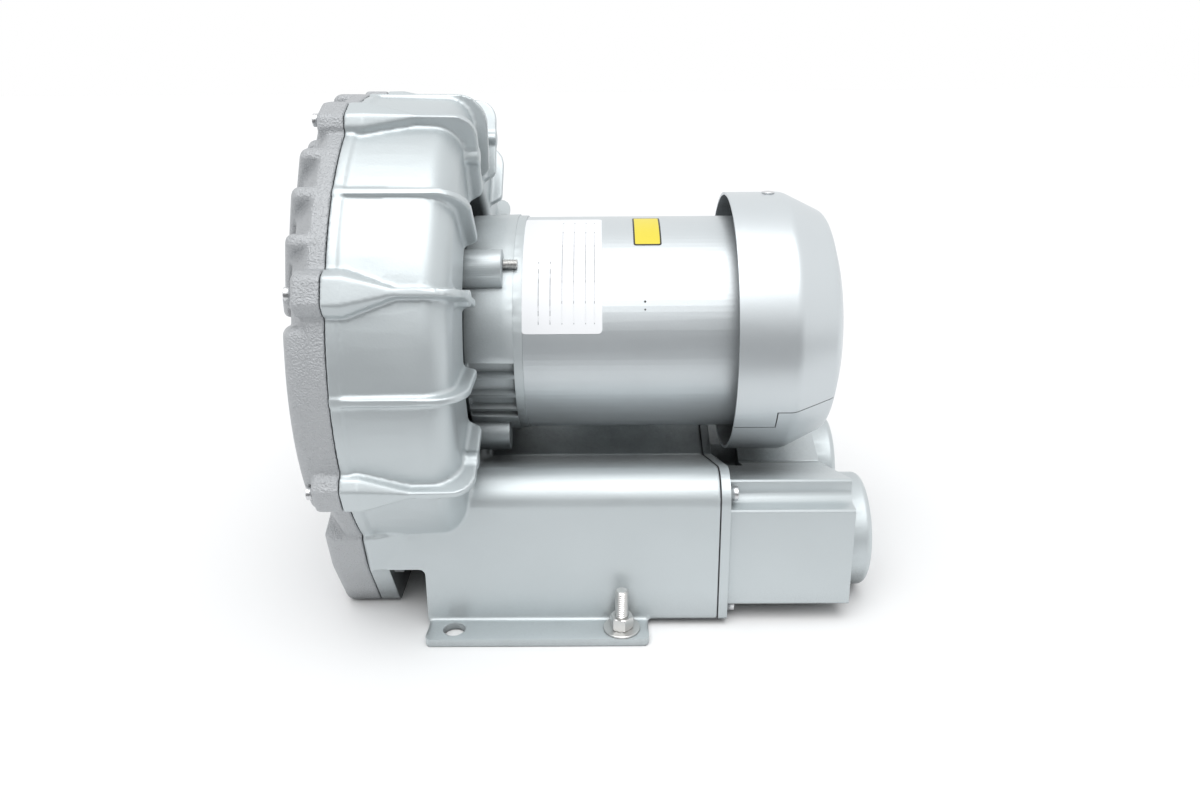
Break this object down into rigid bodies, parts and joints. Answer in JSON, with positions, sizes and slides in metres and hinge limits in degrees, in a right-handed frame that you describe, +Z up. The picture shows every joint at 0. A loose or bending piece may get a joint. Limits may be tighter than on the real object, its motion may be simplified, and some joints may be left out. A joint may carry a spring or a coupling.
{
  "type": "side channel blower",
  "caption": "Regenerative side channel blower with finned impeller case, direct-drive motor, silencer chambers and threaded ports under the motor.",
  "frame": {"origin": "centre of the four foot holes, on the plane that the feet stand on", "axes": "+X along the motor axis from the impeller case to the ports, +Z up, +Y to the far side with the terminal box"},
  "size_m": [0.4013, 0.3356, 0.3548],
  "materials": {
    "case_aluminium": "silver-painted casting, satin",
    "cover_aluminium": "silver-painted sand casting, rough",
    "painted_steel": "silver metallic paint, satin",
    "bare_aluminium": "die cast, bare",
    "zinc_steel": "zinc plated",
    "machined_steel": "turned, bright",
    "bearing_steel": "ground, polished",
    "lamination_steel": "stacked electrical steel",
    "winding_copper": "varnished copper wire",
    "stud_brass": "bright",
    "gasket_board": "matte",
    "seal_rubber": "matte",
    "silencer_foam": "open-cell foam",
    "fan_plastic": "moulded",
    "terminal_plastic": "moulded"
  },
  "bodies": {
    "blower": {"impeller_housing": "case_aluminium", "silencer_body": "case_aluminium", "impeller_cover": "cover_aluminium", "cover_screws": "zinc_steel", "near_silencer_gasket": "gasket_board", "far_silencer_gasket": "gasket_board", "near_port_cover": "case_aluminium", "far_port_cover": "case_aluminium", "near_silencer_foam": "silencer_foam", "far_silencer_foam": "silencer_foam", "port_cover_screws": "zinc_steel", "front_end_bell": "case_aluminium", "motor_mount_screws": "zinc_steel", "motor_shell": "painted_steel", "stator_core": "lamination_steel", "stator_windings": "winding_copper", "rear_end_bell": "case_aluminium", "fan_cover": "painted_steel", "fan_cover_lower_segment": "painted_steel", "fan_cover_screws": "zinc_steel", "shaft_seal": "seal_rubber", "front_bearing_outer_ring": "bearing_steel", "rear_bearing_outer_ring": "bearing_steel", "wave_washer": "machined_steel", "terminal_box": "case_aluminium", "terminal_box_gasket": "seal_rubber", "terminal_box_lid": "case_aluminium", "terminal_lid_screws": "zinc_steel", "terminal_block": "terminal_plastic", "terminal_studs": "stud_brass"},
    "rotor": {"motor_shaft": "machined_steel", "rotor_core": "lamination_steel", "impeller": "bare_aluminium", "impeller_key": "machined_steel", "impeller_shims": "machined_steel", "impeller_bolt": "zinc_steel", "impeller_washer": "zinc_steel", "front_bearing_inner_ring": "bearing_steel", "front_bearing_balls": "bearing_steel", "rear_bearing_inner_ring": "bearing_steel", "rear_bearing_balls": "bearing_steel", "cooling_fan": "fan_plastic", "fan_retaining_ring": "machined_steel"}
  },
  "joints": [
    {"name": "rotor_spin", "type": "hinge", "parent": "blower", "child": "rotor", "pos_m": [0, 0, 0.187], "axis": [1, 0, 0], "continuous": true}
  ]
}
